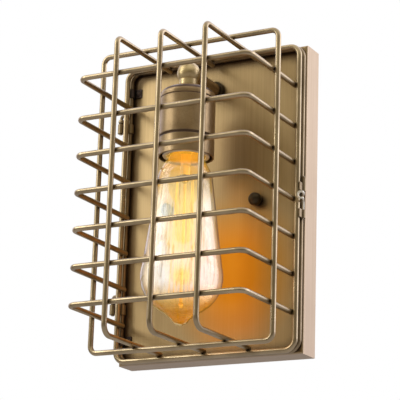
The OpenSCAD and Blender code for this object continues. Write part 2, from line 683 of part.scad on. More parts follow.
// Lead: from its terminal up the nipple, round the elbow, along the arm, down inside the pan
module lead_bend(bend_r) {
    rotate_extrude(angle = 90) translate([bend_r, 0]) circle(d = lead_d, $fn = 20);
}
module lead(s) {
    r_low = 2.6;
    r_top = 5.5;
    start_z = holder_floor + 1.84 + lead_d / 2;
    arm_level = arm_z;
    tail_y = pan_d - arm_thread_l - 3;
    tail_l = 12;
    translate([s * lead_x, -lamp_y, 0]) {
        translate([s * (terminal_x - lead_x), 0, start_z]) rotate([0, -90 * s, 0])
            cylinder(h = terminal_x - lead_x - r_low, d = lead_d, $fn = 20);
        translate([s * r_low, 0, start_z + r_low]) rotate([0, 0, s > 0 ? 0 : 180]) rotate([-90, 0, 0])
            rotate([0, 0, 90]) lead_bend(r_low);
        translate([0, 0, start_z + r_low])
            cylinder(h = arm_level - r_top - start_z - r_low, d = lead_d, $fn = 20);
        translate([0, r_top, arm_level - r_top]) rotate([0, 0, 90]) rotate([90, 0, 0]) rotate([0, 0, 90])
            lead_bend(r_top);
        translate([0, r_top, arm_level]) rotate([-90, 0, 0])
            cylinder(h = lamp_y - r_top - tail_y, d = lead_d, $fn = 20);
        translate([0, lamp_y - tail_y, arm_level - r_low]) rotate([0, 0, 90]) rotate([90, 0, 0])
            lead_bend(r_low);
        translate([0, lamp_y - tail_y + r_low, arm_level - r_low - tail_l])
            cylinder(h = tail_l, d = lead_d, $fn = 20);
    }
}
module lead_live() { color([0.12, 0.12, 0.12]) lead(1); }
module lead_neutral() { color([0.9, 0.9, 0.88]) lead(-1); }

// ---- Bulb -----------------------------------------------------------------------------------

module bulb_cap() {
    r = bulb_cap_d / 2;
    wall = 0.4;
    color(bright_brass) translate([0, -lamp_y, 0]) rotate_extrude() polygon([
        [r - wall, cap_low], [r, cap_low], [r, cap_top - 3], [10.2, cap_top], [8, cap_top],
        [8, cap_top - wall], [10, cap_top - wall], [r - wall, cap_top - 3 - wall]]);
}
module bulb_cap_insulator() {
    color([0.08, 0.08, 0.08]) translate([0, -lamp_y, 0]) rotate_extrude() polygon([
        [0, cap_top - 1], [8 - seat_gap, cap_top - 1], [8 - seat_gap, cap_top],
        [contact_r + 0.8, cap_top + 3.6],
        [0, cap_top + 3.6]]);
}
module bulb_contact() {
    color(steel) translate([0, -lamp_y, 0]) rotate_extrude() polygon(concat(
        [[0, cap_top + 3.6], [contact_r, cap_top + 3.6]],
        arc(0, contact_low - 6.6, 6.6, 47, 90, 5)));
}

// Outline of the glass at a distance inside its outer face, from the neck down to the tip
function bulb_outline(inset) =
    let (neck_r = bulb_neck_d / 2,
         flare_top = cap_low + 1,
         flare_low = cup_low - 21.5,
         flare_r = bulb_r - 11,
         belly_x = bulb_r - belly_r,
         cone_low = belly_z + 8)
    concat(
        [[neck_r - inset, cap_low + 8], [neck_r - inset, flare_top]],
        [for (i = [1:10]) let (h = i / 10)
            [neck_r - inset + (flare_r - neck_r) * (1 - cos(180 * h)) / 2,
             flare_top - (flare_top - flare_low) * h]],
        arc(belly_x, belly_z, belly_r - inset, asin((cone_low - belly_z) / belly_r), belly_end_angle, 14),
        arc(0, bulb_low + tip_r, tip_r - inset, -24, -90, 6));
module bulb_glass() {
    color(amber_glass) translate([0, -lamp_y, 0]) rotate_extrude()
        polygon(concat(bulb_outline(0), reversed(bulb_outline(glass_t))));
}
rod_r = 1.3;
stem_low = cup_low - 22;
rod_low = bulb_low + 18;
module bulb_stem() {
    flare_r = bulb_neck_d / 2 - glass_t - 0.05;
    color([0.9, 0.9, 0.88, 0.5]) translate([0, -lamp_y, 0]) rotate_extrude() polygon(concat(
        [[0, cap_low + 4], [flare_r, cap_low + 4], [flare_r, cap_low + 2.5], [4.6, cap_low - 5],
         [4.2, stem_low + 6]],
        [[2.6, stem_low], [rod_r, stem_low - 1], [rod_r, rod_low + 2]],
        arc(0, rod_low, 2.2, 50, -90, 6)));
}

// Sweep of a round section along points, each ring square to the path there
function unit(v) = v / norm(v);
function tangent_at(p, i) = unit(p[min(i + 1, len(p) - 1)] - p[max(i - 1, 0)]);
module sweep(path, r, sides = 6) {
    n = len(path);
    rings = [for (i = [0:n - 1])
        let (t = tangent_at(path, i), u = unit([path[i][0], path[i][1], 0]), v = unit(cross(t, u)),
             w = cross(v, t))
        each [for (k = [0:sides - 1]) path[i] + r * (cos(360 * k / sides) * w + sin(360 * k / sides) * v)]];
    walls = [for (i = [0:n - 2], k = [0:sides - 1])
        let (k2 = (k + 1) % sides)
        each [[i * sides + k, (i + 1) * sides + k, (i + 1) * sides + k2],
              [i * sides + k, (i + 1) * sides + k2, i * sides + k2]]];
    ends = [[for (k = [0:sides - 1]) k], [for (k = [sides - 1:-1:0]) (n - 1) * sides + k]];
    polyhedron(points = rings, faces = concat(walls, ends));
}

// Squirrel-cage filament: one wire that runs up and down between two rings of support wires
filament_top = stem_low + 4;
filament_low = bulb_low + 27;
filament_top_r = 7.5;
filament_low_r = 10.5;
function strand_end(i, high) =
    let (a = 360 * (i + 0.25) / strand_count, r = high ? filament_top_r : filament_low_r)
    [r * cos(a), r * sin(a), high ? filament_top : filament_low];
module filament() {
    bend = 0.8;
    path = [for (i = [0:strand_count - 2]) let (high = i % 2 == 0)
        each [strand_end(i, !high) + [0, 0, high ? 0 : -bend],
              strand_end(i, high) + [0, 0, high ? -bend : 0]]];
    color([1, 0.75, 0.3]) translate([0, -lamp_y, 0]) sweep(path, 0.3, 6);
}
module filament_supports() {
    color(steel) translate([0, -lamp_y, 0]) {
        for (i = [0:strand_count - 1]) let (a = 360 * (i + 0.25) / strand_count, high = i % 2 == 0)
            rotate([0, 0, a]) translate([0, 0, high ? filament_top + 1 : filament_low - 1])
                rotate([0, 90, 0]) cylinder(h = high ? filament_top_r : filament_low_r, r = 0.25, $fn = 16);
        translate([0, 0, filament_top + 0.4]) cylinder(h = 1.2, r = 5.2);
        translate([0, 0, filament_low - 1.6]) cylinder(h = 1.2, r = rod_r + 0.8);
    }
}

back_pan();
mounting_strap();
strap_studs();
stud_lock_nuts();
ball_nuts();
ground_screw();
fixed_ring();
ring_clips();
clip_rivets();
hinge_barrel_upper();
hinge_barrel_lower();
latch_knuckle_upper();
latch_knuckle_lower();
latch_hook();
arm_tube();
arm_collar();
arm_washer();
arm_nut();
ball_elbow();
elbow_nipple();
nipple_nut();
socket_cup();
lampholder_body();
screw_shell();
centre_contact();
terminal_screws();
lead_live();
lead_neutral();
bulb_cap();
bulb_cap_insulator();
bulb_contact();
bulb_glass();
bulb_stem();
filament();
filament_supports();
cage_rear_ring();
cage_mid_ring();
cage_hoop_left();
cage_hoop_centre();
cage_hoop_right();
cage_bar(1);  // cage_bar_1
cage_bar(2);  // cage_bar_2
cage_bar(3);  // cage_bar_3
cage_bar(4);  // cage_bar_4
cage_bar(5);  // cage_bar_5
cage_bar(6);  // cage_bar_6
cage_bar(7);  // cage_bar_7
hinge_pin_upper();
hinge_pin_lower();
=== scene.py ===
import math

import bpy
import bmesh
from mathutils import Matrix, Vector


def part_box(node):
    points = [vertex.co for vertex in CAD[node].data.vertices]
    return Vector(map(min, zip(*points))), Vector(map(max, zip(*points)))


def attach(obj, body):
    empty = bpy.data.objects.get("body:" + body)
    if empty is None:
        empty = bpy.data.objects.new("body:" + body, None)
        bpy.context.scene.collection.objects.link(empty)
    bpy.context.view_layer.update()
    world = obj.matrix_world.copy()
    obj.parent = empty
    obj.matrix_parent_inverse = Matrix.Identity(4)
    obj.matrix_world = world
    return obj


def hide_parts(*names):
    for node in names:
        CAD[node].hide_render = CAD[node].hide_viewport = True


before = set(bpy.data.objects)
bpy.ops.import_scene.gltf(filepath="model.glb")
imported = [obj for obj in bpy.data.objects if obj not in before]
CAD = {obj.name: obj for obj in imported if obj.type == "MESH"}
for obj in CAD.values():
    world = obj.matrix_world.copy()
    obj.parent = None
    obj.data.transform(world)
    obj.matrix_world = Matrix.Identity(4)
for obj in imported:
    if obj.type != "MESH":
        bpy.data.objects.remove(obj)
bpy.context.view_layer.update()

bl_info = {
    "name": "Cage wall light",
    "version": (1, 0, 0),
    "blender": (4, 5, 0),
    "location": "3D View > Sidebar > Wall light",
    "description": "Finishes, bulb, weld beads and studio for a hinged wire-cage wall light",
    "category": "Object",
}

CAGE_WIRES = (["cage_rear_ring", "cage_mid_ring", "cage_hoop_left", "cage_hoop_centre", "cage_hoop_right"]
              + [f"cage_bar_{i}" for i in range(1, 8)])


# ---- Small helpers ------------------------------------------------------------------------------

def srgb(red, green, blue):
    """A colour written as 0-255 screen values, as Blender's linear values."""
    def linear(value):
        value /= 255
        return value / 12.92 if value <= 0.04045 else ((value + 0.055) / 1.055) ** 2.4
    return (linear(red), linear(green), linear(blue))


def middle(node):
    """Centre of a CAD node's box."""
    low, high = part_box(node)
    return (low + high) / 2


def paint(material, *nodes):
    """Gives CAD nodes a material."""
    for name in nodes:
        mesh = CAD[name].data
        mesh.materials.clear()
        mesh.materials.append(material)


def add_piece(name, mesh, material, body):
    """A finished mesh as a piece that moves with a body and wears a slot's finish."""
    piece = bpy.data.objects.new(name, mesh)
    bpy.context.scene.collection.objects.link(piece)
    mesh.materials.clear()
    mesh.materials.append(material)
    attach(piece, body)
    return piece


def smooth(mesh, angle=math.radians(35)):
    """Smooth shading, with edges sharper than the angle kept crisp."""
    work = bmesh.new()
    work.from_mesh(mesh)
    bmesh.ops.remove_doubles(work, verts=work.verts, dist=1e-7)
    bmesh.ops.recalc_face_normals(work, faces=work.faces)
    for face in work.faces:
        face.smooth = True
    for edge in work.edges:
        edge.smooth = len(edge.link_faces) == 2 and edge.calc_face_angle(0) < angle
    work.to_mesh(mesh)
    work.free()
    return mesh


def lathe(name, profile, centre, steps=128):
    """A closed turned form: profile is a closed list of (radius, height) round an upright axis."""
    work = bmesh.new()
    rings = []
    for radius, height in profile:
        if radius < 1e-7:
            rings.append([work.verts.new((centre[0], centre[1], height))])
        else:
            rings.append([work.verts.new((centre[0] + radius * math.cos(2 * math.pi * k / steps),
                                          centre[1] + radius * math.sin(2 * math.pi * k / steps),
                                          height)) for k in range(steps)])
    for first, second in zip(rings, rings[1:] + rings[:1]):
        for k in range(steps):
            corners = [first[k % len(first)], first[(k + 1) % len(first)],
                       second[(k + 1) % len(second)], second[k % len(second)]]
            corners = list(dict.fromkeys(corners))
            if len(corners) > 2:
                work.faces.new(corners)
    mesh = bpy.data.meshes.new(name)
    work.to_mesh(mesh)
    work.free()
    return smooth(mesh)


# ---- Materials ----------------------------------------------------------------------------------

class Finish:
    """A material under construction: its node tree, its shader and short ways to add nodes."""

    def __init__(self, name):
        self.material = bpy.data.materials.new(name)
        self.material.use_nodes = True
        self.tree = self.material.node_tree
        self.shader = self.tree.nodes["Principled BSDF"]
        self.place = self.node("ShaderNodeTexCoord").outputs["Object"]

    def node(self, kind, **settings):
        made = self.tree.nodes.new(kind)
        for key, value in settings.items():
            if key in made.inputs:
                made.inputs[key].default_value = value
            else:
                setattr(made, key, value)
        return made

    def link(self, output, target):
        self.tree.links.new(output, target)

    def set(self, **values):
        for key, value in values.items():
            socket = self.shader.inputs[key.replace("_", " ")]
            socket.default_value = (*value, 1) if isinstance(value, tuple) else value
        return self

    def stretched(self, scale):
        """Object coordinates, scaled apart in X, Y and Z."""
        mapping = self.node("ShaderNodeMapping")
        mapping.inputs["Scale"].default_value = scale
        self.link(self.place, mapping.inputs["Vector"])
        return mapping.outputs["Vector"]

    def noise(self, scale, detail=3, stretch=(1, 1, 1), roughness=0.55):
        made = self.node("ShaderNodeTexNoise")
        made.inputs["Scale"].default_value = scale
        made.inputs["Detail"].default_value = detail
        made.inputs["Roughness"].default_value = roughness
        self.link(self.stretched(stretch), made.inputs["Vector"])
        return made.outputs["Fac"]

    def ramp(self, value, *stops):
        """Colours or grey values at places from 0 to 1."""
        made = self.node("ShaderNodeValToRGB")
        band = made.color_ramp
        while len(band.elements) < len(stops):
            band.elements.new(0.5)
        for element, (place, colour) in zip(band.elements, stops):
            element.position = place
            element.color = (*colour, 1) if isinstance(colour, tuple) else (colour, colour, colour, 1)
        self.link(value, made.inputs["Fac"])
        return made.outputs["Color"]

    def mix(self, share, first, second, how="MIX"):
        made = self.node("ShaderNodeMix", data_type="RGBA", blend_type=how)
        for value, socket in ((share, made.inputs[0]), (first, made.inputs[6]), (second, made.inputs[7])):
            if isinstance(value, bpy.types.NodeSocket):
                self.link(value, socket)
            elif isinstance(value, tuple):
                socket.default_value = (*value, 1)
            else:
                socket.default_value = value
        return made.outputs[2]

    def colour(self, output):
        self.link(output, self.shader.inputs["Base Color"])

    def rough(self, value, low, high):
        self.link(self.ramp(value, (0.3, low), (0.7, high)), self.shader.inputs["Roughness"])

    def bump(self, height, depth, strength=0.5):
        made = self.node("ShaderNodeBump")
        made.inputs["Distance"].default_value = depth
        made.inputs["Strength"].default_value = strength
        self.link(height, made.inputs["Height"])
        if self.shader.inputs["Normal"].is_linked:
            self.link(self.shader.inputs["Normal"].links[0].from_socket, made.inputs["Normal"])
        self.link(made.outputs["Normal"], self.shader.inputs["Normal"])

    def painted_recess_shade(self, body, dark, reach, amount):
        """Painted shade: darker plate in corners and close behind other pieces, wherever ambient occlusion
        finds them.
        """
        open_share = self.node("ShaderNodeAmbientOcclusion", samples=8)
        open_share.inputs["Distance"].default_value = reach
        return self.mix(self.ramp(open_share.outputs["AO"], (0.45, amount), (0.9, 0.0)), body, dark)

    def height(self, low, high):
        """Height on the piece, 0 at low and 1 at high."""
        place = self.node("ShaderNodeSeparateXYZ")
        self.link(self.place, place.inputs[0])
        span = self.node("ShaderNodeMapRange")
        span.inputs["From Min"].default_value = low
        span.inputs["From Max"].default_value = high
        self.link(place.outputs["Z"], span.inputs["Value"])
        return span.outputs["Result"]

    def dark_lines(self, low, high, dark, *lines):
        """Dark lines at given heights, laid over the base colour: lines are (height, half width, strength).
        """
        body = self.shader.inputs["Base Color"].links[0].from_socket
        level = self.height(low, high)
        for height, half, amount in lines:
            stops = [((height + step * half - low) / (high - low), share)
                     for step, share in ((-1.5, 0.0), (-0.8, amount), (0.8, amount), (1.5, 0.0))]
            body = self.mix(self.ramp(level, *stops), body, dark)
        self.colour(body)


def aged_brass(name, base, dark, roughness=(0.34, 0.46), metallic=0.9, grain=None, tooth_mark=0.25,
               reach=0.004):
    """Satin antique plate: a base colour clouded with a darker one, fine tooth, uneven gloss and painted
    shade in its recesses.
    """
    recess_shade_factor = 0.3
    finish = Finish(name).set(Metallic=metallic)
    cloud = finish.noise(34, 4)
    tooth = finish.noise(700, 2)
    body = finish.mix(finish.ramp(cloud, (0.35, 0.0), (0.75, 0.55)), base, dark)
    body = finish.mix(finish.ramp(tooth, (0.45, 0.0), (0.8, tooth_mark)), body, dark)
    # Painted shade: a much darker copy of the dark colour is laid into corners and behind other pieces.
    finish.colour(finish.painted_recess_shade(body, tuple(recess_shade_factor * value for value in dark), reach, 0.7))
    finish.rough(cloud, *roughness)
    if grain:
        lines = finish.noise(1, 3, grain, 0.7)
        finish.bump(lines, 0.00006, 0.55)
    finish.bump(tooth, 0.00002, 0.2)
    return finish


def plain_finish(name, base, metallic=0.0, roughness=0.4, tooth=900, depth=0.00002, second=None):
    finish = Finish(name).set(Metallic=metallic)
    grit = finish.noise(tooth, 3)
    other = second or tuple(0.82 * value for value in base)
    finish.colour(finish.mix(finish.ramp(grit, (0.3, 0.0), (0.8, 1.0)), base, other))
    finish.rough(grit, roughness * 0.85, min(1, roughness * 1.15))
    finish.bump(grit, depth, 0.4)
    return finish


# ---- Settings -----------------------------------------------------------------------------------

class CageLightSizes(bpy.types.PropertyGroup):
    weld_radius: bpy.props.FloatProperty(
        name="Weld radius", description="Radius of the weld metal where two cage wires cross",
        default=0.0017, min=0.0005, max=0.003, unit="LENGTH")
    weld_flatness: bpy.props.FloatProperty(
        name="Weld flatness", description="Depth of a weld bead as a share of its width",
        default=0.6, min=0.2, max=1.0, subtype="FACTOR")
    strand_radius: bpy.props.FloatProperty(
        name="Strand radius", description="Radius of the coiled filament strands",
        default=0.0004, min=0.0001, max=0.001, unit="LENGTH")
    strand_turns: bpy.props.IntProperty(
        name="Strands", description="Number of long strands of the filament cage",
        default=12, min=6, max=24)
    bulb_glow: bpy.props.FloatProperty(
        name="Filament glow", description="Brightness of the glowing filament",
        default=0.9, min=0.0, max=40.0)


class CageLightColours(bpy.types.PropertyGroup):
    plate: bpy.props.FloatVectorProperty(
        name="Antique plate", description="Colour of the satin antique brass plate",
        default=srgb(204, 184, 148), min=0, max=1, subtype="COLOR")
    # Colour of the plate's darker clouding; a much darker copy of it is painted shade in the plate's
    # recesses.
    patina_and_shade: bpy.props.FloatVectorProperty(
        name="Patina", description="Colour of the darkened parts of the plate",
        default=srgb(116, 101, 74), min=0, max=1, subtype="COLOR")
    glass: bpy.props.FloatVectorProperty(
        name="Bulb glass", description="Tint of the bulb's glass",
        default=srgb(255, 247, 230), min=0, max=1, subtype="COLOR")
    glow: bpy.props.FloatVectorProperty(
        name="Glow", description="Colour of the filament's light",
        default=(1.0, 0.62, 0.1), min=0, max=1, subtype="COLOR")


def chosen_sizes():
    return bpy.context.scene.cage_light_sizes


def chosen_colours():
    return bpy.context.scene.cage_light_colours


# ---- Geometry Nodes -----------------------------------------------------------------------------

class NodeForm:
    """A Geometry Nodes tree under construction, with named inputs."""

    def __init__(self, name):
        self.tree = bpy.data.node_groups.new(name, "GeometryNodeTree")
        self.tree.interface.new_socket("Geometry", in_out="INPUT", socket_type="NodeSocketGeometry")
        self.tree.interface.new_socket("Geometry", in_out="OUTPUT", socket_type="NodeSocketGeometry")
        self.sockets = {}

    def size(self, name):
        """Adds a named length or share to the tree's inputs."""
        socket = self.tree.interface.new_socket(name, in_out="INPUT", socket_type="NodeSocketFloat")
        self.sockets[name] = socket.identifier

    def node(self, kind):
        return self.tree.nodes.new(kind)

    def link(self, output, target):
        self.tree.links.new(output, target)

    def close(self, geometry, material):
        real = self.node("GeometryNodeRealizeInstances")
        set_material = self.node("GeometryNodeSetMaterial")
        set_material.inputs["Material"].default_value = material
        self.link(geometry, real.inputs[0])
        self.link(real.outputs[0], set_material.inputs["Geometry"])
        self.link(set_material.outputs[0], self.node("NodeGroupOutput").inputs[0])

    def build(self, name, carrier, values, material, body):
        """Runs the tree on a carrier mesh and keeps the result as a plain mesh."""
        holder = bpy.data.objects.new(name + "_carrier", carrier)
        bpy.context.scene.collection.objects.link(holder)
        modifier = holder.modifiers.new("form", "NODES")
        modifier.node_group = self.tree
        for key, value in values.items():
            modifier[self.sockets[key]] = value
        bpy.context.view_layer.update()
        graph = bpy.context.evaluated_depsgraph_get()
        mesh = bpy.data.meshes.new_from_object(holder.evaluated_get(graph))
        bpy.data.objects.remove(holder)
        if not mesh.polygons:
            raise RuntimeError(f"{name}: the node tree made no faces")
        smooth(mesh, math.radians(60))
        return add_piece(name, mesh, material, body)


# ---- Operators ----------------------------------------------------------------------------------

def wire_finish():
    """The cage wire's plate, made once and shared by every wire."""
    colours = chosen_colours()
    finish = bpy.data.materials.get("satin_plated_wire")
    return finish or aged_brass("satin_plated_wire", tuple(colours.plate), tuple(colours.patina_and_shade),
                                roughness=(0.26, 0.34), metallic=0.97, tooth_mark=0.1).material


class CAGELIGHT_OT_cage(bpy.types.Operator):
    """Plate the rings, hoops and cross bars, and lay weld metal where the wires cross"""
    bl_idname = "cagelight.cage"
    bl_label = "Wire cage"

    def execute(self, context):
        sizes = chosen_sizes()
        plate = wire_finish()
        paint(plate, *CAGE_WIRES)
        # A darker plate stands in for the shade in which the ring on the pan lies.
        shaded = aged_brass("shaded_ring_plate", srgb(176, 156, 124), srgb(110, 90, 64), roughness=(0.3, 0.4),
                            metallic=0.95, tooth_mark=0.1, reach=0.012)
        paint(shaded.material, "fixed_ring")
        spots = bpy.data.meshes.new("weld_spots")
        spots.from_pydata(self.crossings(), [], [])
        form = NodeForm("weld_beads")
        form.size("Radius")
        form.size("Flatness")
        ins = form.node("NodeGroupInput")
        ball = form.node("GeometryNodeMeshIcoSphere")
        ball.inputs["Subdivisions"].default_value = 3
        form.link(ins.outputs["Radius"], ball.inputs["Radius"])
        scale = form.node("ShaderNodeCombineXYZ")
        scale.inputs["X"].default_value = 1
        scale.inputs["Z"].default_value = 1
        form.link(ins.outputs["Flatness"], scale.inputs["Y"])
        spread = form.node("GeometryNodeInstanceOnPoints")
        form.link(ins.outputs["Geometry"], spread.inputs["Points"])
        form.link(ball.outputs["Mesh"], spread.inputs["Instance"])
        form.link(scale.outputs[0], spread.inputs["Scale"])
        form.close(spread.outputs[0], plate)
        form.build("cage_weld_beads", spots, {"Radius": sizes.weld_radius, "Flatness": sizes.weld_flatness},
                   plate, "cage")
        return {"FINISHED"}

    @staticmethod
    def crossings():
        """Points between the wires where two of them are welded, front, sides, top and bottom."""
        melt = 0.0002
        hoops = [middle(f"cage_hoop_{side}").x for side in ("left", "centre", "right")]
        hoop_low, hoop_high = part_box("cage_hoop_centre")
        points = []
        for i in range(1, 8):
            low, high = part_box(f"cage_bar_{i}")
            height = (low.z + high.z) / 2
            points += [(x, low.y + melt, height) for x in hoops]
            for ring in ("cage_rear_ring", "cage_mid_ring"):
                y = middle(ring).y
                points += [(low.x, y, height), (high.x, y, height)]
        for ring in ("cage_rear_ring", "cage_mid_ring"):
            y = middle(ring).y
            points += [(x, y, z) for x in hoops for z in (hoop_low.z, hoop_high.z)]
        return points


class CAGELIGHT_OT_pan(bpy.types.Operator):
    """Brush and plate the folded wall pan"""
    bl_idname = "cagelight.pan"
    bl_label = "Wall pan"

    def execute(self, context):
        finish = Finish("brushed_antique_sheet").set(Metallic=0.9)
        long_grain = finish.noise(1, 3, (900, 900, 7), 0.65)
        fine_grain = finish.noise(1, 2, (3200, 3200, 22), 0.6)
        cloud = finish.noise(9, 3)
        base = finish.mix(finish.ramp(long_grain, (0.32, 0.0), (0.72, 0.5)),
                          srgb(203, 177, 140), srgb(170, 142, 104))
        base = finish.mix(finish.ramp(cloud, (0.35, 0.0), (0.8, 0.4)), base, srgb(160, 132, 94))
        front = self.front_face(finish)
        # The pan has one plate: the two tones stand in for the light, cool on its sides, warm on its face.
        side_tone, front_tone = (1.0, 1.06, 1.2), (1.0, 1.0, 0.86)
        base = finish.mix(1.0, base, finish.mix(front, side_tone, front_tone), "MULTIPLY")
        base = finish.mix(self.behind_bulb(finish, front), base, srgb(198, 138, 14))
        # Painted shade: the plate darkens in its corners and behind the rings, where their shadow falls.
        finish.colour(finish.painted_recess_shade(base, srgb(74, 58, 50), 0.014, 0.85))
        finish.rough(fine_grain, 0.32, 0.42)
        finish.bump(long_grain, 0.00005, 0.35)
        finish.bump(fine_grain, 0.00002, 0.35)
        paint(finish.material, "back_pan")
        return {"FINISHED"}

    @staticmethod
    def front_face(finish):
        """1 on the pan's front face, 0 on its sides and its back."""
        depth = finish.node("ShaderNodeSeparateXYZ")
        finish.link(finish.place, depth.inputs[0])
        skin = 0.0004
        front = finish.node("ShaderNodeMath", operation="LESS_THAN")
        front.inputs[1].default_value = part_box("back_pan")[0].y + skin
        finish.link(depth.outputs["Y"], front.inputs[0])
        return front.outputs[0]

    @staticmethod
    def behind_bulb(finish, front):
        """Share of the amber tone that stands in for the bulb's light on the plate, fading outwards."""
        centre = (0.022, 0, -0.062)
        half_width, half_height = 0.068, 0.074
        offset = finish.node("ShaderNodeVectorMath", operation="SUBTRACT")
        offset.inputs[1].default_value = centre
        finish.link(finish.place, offset.inputs[0])
        squash = finish.node("ShaderNodeVectorMath", operation="MULTIPLY")
        squash.inputs[1].default_value = (1 / half_width, 0, 1 / half_height)
        finish.link(offset.outputs[0], squash.inputs[0])
        away = finish.node("ShaderNodeVectorMath", operation="LENGTH")
        finish.link(squash.outputs[0], away.inputs[0])
        share = finish.ramp(away.outputs["Value"], (0.3, 0.95), (0.65, 0.6), (1.0, 0.0))
        return finish.mix(1.0, share, front, "MULTIPLY")


class CAGELIGHT_OT_hinges(bpy.types.Operator):
    """Finish the hinge barrels, their pins and the ring's clips"""
    bl_idname = "cagelight.hinges"
    bl_label = "Hinges and clips"

    def execute(self, context):
        paint(wire_finish(), "hinge_pin_upper", "hinge_pin_lower")
        leaf = aged_brass("hinge_plate", srgb(172, 152, 116), srgb(96, 80, 56), roughness=(0.32, 0.44))
        paint(leaf.material, "hinge_barrel_upper", "hinge_barrel_lower")
        clip = aged_brass("dark_clip_plate", srgb(98, 86, 80), srgb(52, 42, 40), roughness=(0.38, 0.5))
        paint(clip.material, "ring_clips", "clip_rivets")
        return {"FINISHED"}


class CAGELIGHT_OT_latch(bpy.types.Operator):
    """Finish the latch: two sheet knuckles and the wire hook, whose near-white plate is a painted highlight
    """
    bl_idname = "cagelight.latch"
    bl_label = "Latch"

    def execute(self, context):
        knuckle = aged_brass("latch_knuckle_plate", srgb(176, 156, 124), srgb(104, 88, 66))
        # Painted highlight: the hook's near-white plate stands in for the light that falls on it.
        hook = aged_brass("highlit_hook_wire", srgb(255, 250, 232), srgb(228, 212, 182), roughness=(0.3, 0.4),
                          metallic=0.6, reach=0.0008)
        paint(knuckle.material, "latch_knuckle_upper", "latch_knuckle_lower")
        paint(hook.material, "latch_hook")
        return {"FINISHED"}


class CAGELIGHT_OT_arm_and_socket(bpy.types.Operator):
    """Finish the arm, the ball elbow, the socket cup and what it holds"""
    bl_idname = "cagelight.arm_and_socket"
    bl_label = "Arm and socket"

    def execute(self, context):
        body, shade, lathe_lines = srgb(196, 170, 130), srgb(120, 94, 60), (6, 6, 2600)
        turned = aged_brass("spun_antique_brass", body, shade, roughness=(0.28, 0.38), grain=lathe_lines)
        dark = aged_brass("dark_turned_bronze", srgb(86, 74, 54), srgb(42, 36, 28), roughness=(0.3, 0.42))
        cup_low, cup_high = (corner.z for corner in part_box("socket_cup"))
        # Painted reflection: the dark line at the dome's edge stands in for the dark that the shoulder
        # mirrors; the two lower lines darken the cup's grooves.
        dome_edge_reflection, upper_groove, lower_groove = cup_high - 0.0062, cup_high - 0.0122, cup_high - 0.0472
        spun = aged_brass("spun_cup_brass", body, shade, roughness=(0.28, 0.38), grain=lathe_lines)
        spun.dark_lines(cup_low, cup_high, srgb(72, 56, 52), (dome_edge_reflection, 0.0012, 0.85),
                        (upper_groove, 0.0004, 0.6), (lower_groove, 0.0011, 0.75))
        paint(spun.material, "socket_cup")
        paint(turned.material, "arm_tube")
        # Painted light: the ball's paler plate stands in for the light that falls on it.
        ball = aged_brass("lit_turned_ball_brass", srgb(232, 210, 158), srgb(150, 126, 84), roughness=(0.3, 0.4))
        paint(ball.material, "ball_elbow")
        paint(dark.material, "ball_nuts", "arm_collar")
        porcelain = plain_finish("glazed_porcelain", srgb(238, 230, 214), roughness=0.18, tooth=260,
                                 depth=0.00001).set(Coat_Weight=0.5)
        paint(porcelain.material, "lampholder_body")
        shell = aged_brass("drawn_brass", srgb(238, 196, 110), srgb(196, 150, 72), roughness=(0.18, 0.3),
                           metallic=1.0)
        paint(shell.material, "screw_shell", "centre_contact", "terminal_screws", "bulb_cap")
        return {"FINISHED"}


class CAGELIGHT_OT_fixings(bpy.types.Operator):
    """Finish the strap, the studs, the nuts and the leads behind the pan"""
    bl_idname = "cagelight.fixings"
    bl_label = "Strap, nuts and leads"

    def execute(self, context):
        zinc = plain_finish("zinc_plate", srgb(190, 192, 190), metallic=0.95, roughness=0.36, tooth=420,
                            second=srgb(150, 152, 150))
        paint(zinc.material, "mounting_strap", "strap_studs", "stud_lock_nuts", "arm_washer", "arm_nut",
              "elbow_nipple", "nipple_nut")
        green = plain_finish("green_screw", srgb(52, 112, 66), metallic=0.7)
        paint(green.material, "ground_screw")
        paint(plain_finish("black_insulation", srgb(26, 26, 27), roughness=0.45).material, "lead_live")
        paint(plain_finish("white_insulation", srgb(226, 224, 216), roughness=0.45).material, "lead_neutral")
        return {"FINISHED"}


